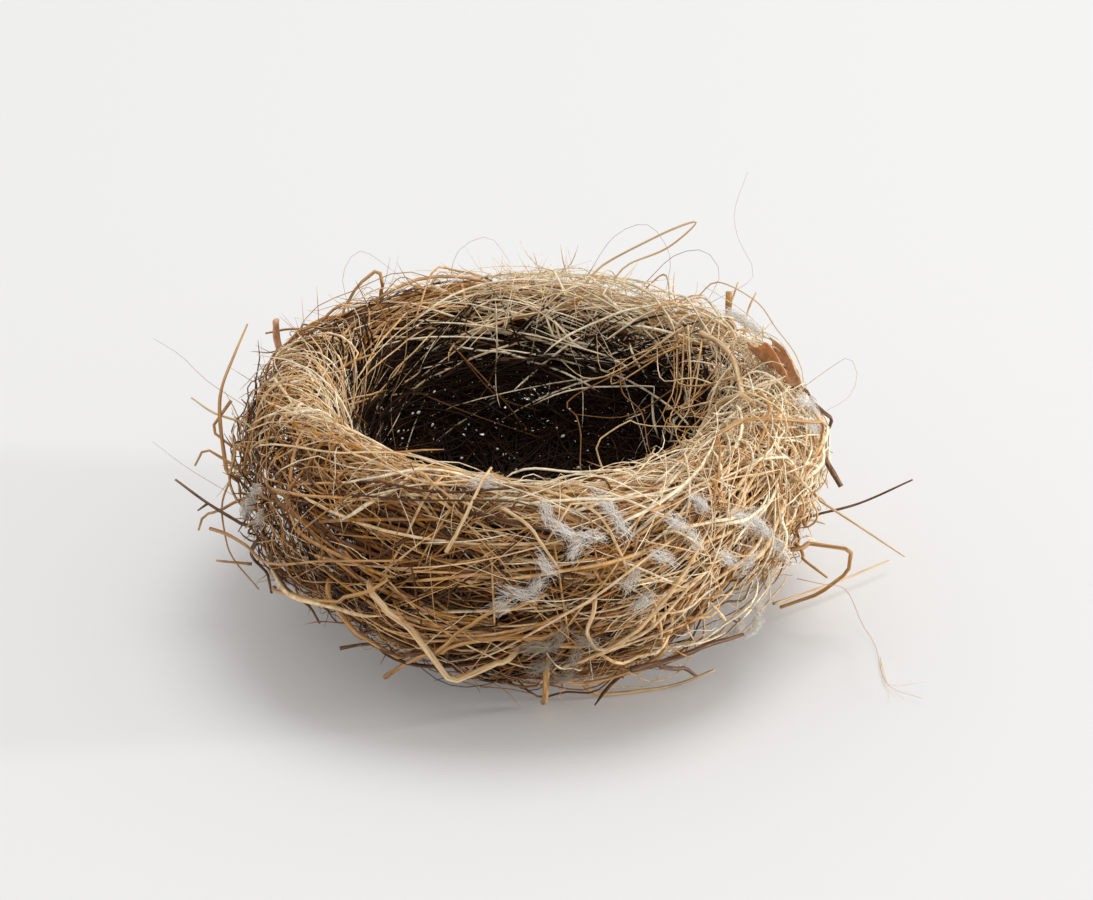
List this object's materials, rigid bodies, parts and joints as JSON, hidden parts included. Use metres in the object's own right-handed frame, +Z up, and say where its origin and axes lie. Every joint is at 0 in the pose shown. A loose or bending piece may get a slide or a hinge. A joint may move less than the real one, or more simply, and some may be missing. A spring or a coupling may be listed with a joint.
{
  "type": "bird nest",
  "caption": "Open cup-shaped nest of a small songbird, wound from dry grass with a dark rootlet lining; it stands on its flat underside and holds eggs.",
  "frame": {"origin": "middle of the flat underside that the nest stands on", "axes": "+Z up, out of the cup; -Y towards the side with the long kinked straw; +X towards the side with the stems that stand out"},
  "size_m": [0.1455, 0.1217, 0.0611],
  "materials": {
    "dry_grass": "matte",
    "pale_straw": "satin",
    "brown_stem": "matte",
    "rootlet": "matte",
    "plant_down": "matte",
    "dead_leaf": "matte"
  },
  "bodies": {
    "root": {"grass_wall": "dry_grass", "cup_lining": "rootlet", "flared_stem_back": "dry_grass", "crossing_straw_front": "dry_grass", "curved_straw_front": "dry_grass", "stub_straw_front": "dry_grass", "long_straw_front": "dry_grass", "long_straw_left": "dry_grass", "sweeping_straw_left": "dry_grass", "wrapping_straw_left": "dry_grass", "bent_straw_left": "dry_grass", "kinked_straw_left": "dry_grass", "tall_blade_left": "dry_grass", "stub_straw_left": "dry_grass", "hooked_straw_left": "dry_grass", "level_straw_back": "dry_grass", "folded_blade_back": "dry_grass", "folded_straw_top": "dry_grass", "folded_straw_right": "dry_grass", "short_straw_right": "dry_grass", "looped_straw_right": "dry_grass", "leaning_straw_right": "dry_grass", "kinked_straw_front": "pale_straw", "trailing_straw_front": "pale_straw", "looped_straw_front": "pale_straw", "pale_straw_rim": "pale_straw", "forked_straw_rim": "pale_straw", "pale_straw_front": "pale_straw", "level_straw_left": "pale_straw", "dark_tipped_stem_back": "pale_straw", "thin_stem_back": "pale_straw", "seed_stem_back": "pale_straw", "yellow_straw_right": "pale_straw", "seed_straw_right": "pale_straw", "thick_stem_rim": "pale_straw", "crossing_stem_rim": "pale_straw", "dark_twig_front": "brown_stem", "dark_twig_low": "brown_stem", "brown_blade_left": "brown_stem", "hanging_straw_left": "brown_stem", "curled_straw_left": "brown_stem", "twig_left": "brown_stem", "twig_right": "brown_stem", "grey_straw_right": "brown_stem", "bowed_straw_left": "brown_stem", "curled_stem_right": "brown_stem", "down_tuft_front_high": "plant_down", "down_tuft_front_mid": "plant_down", "down_tuft_front_low": "plant_down", "down_tuft_front_right": "plant_down", "down_tuft_side_right": "plant_down", "down_tuft_low_right": "plant_down", "down_tuft_right": "plant_down", "down_tuft_back_right": "plant_down", "down_tuft_left": "plant_down", "down_tuft_low_left": "plant_down", "orange_blade_back": "dead_leaf", "leaf_scrap_right": "dead_leaf"}
  },
  "joints": []
}
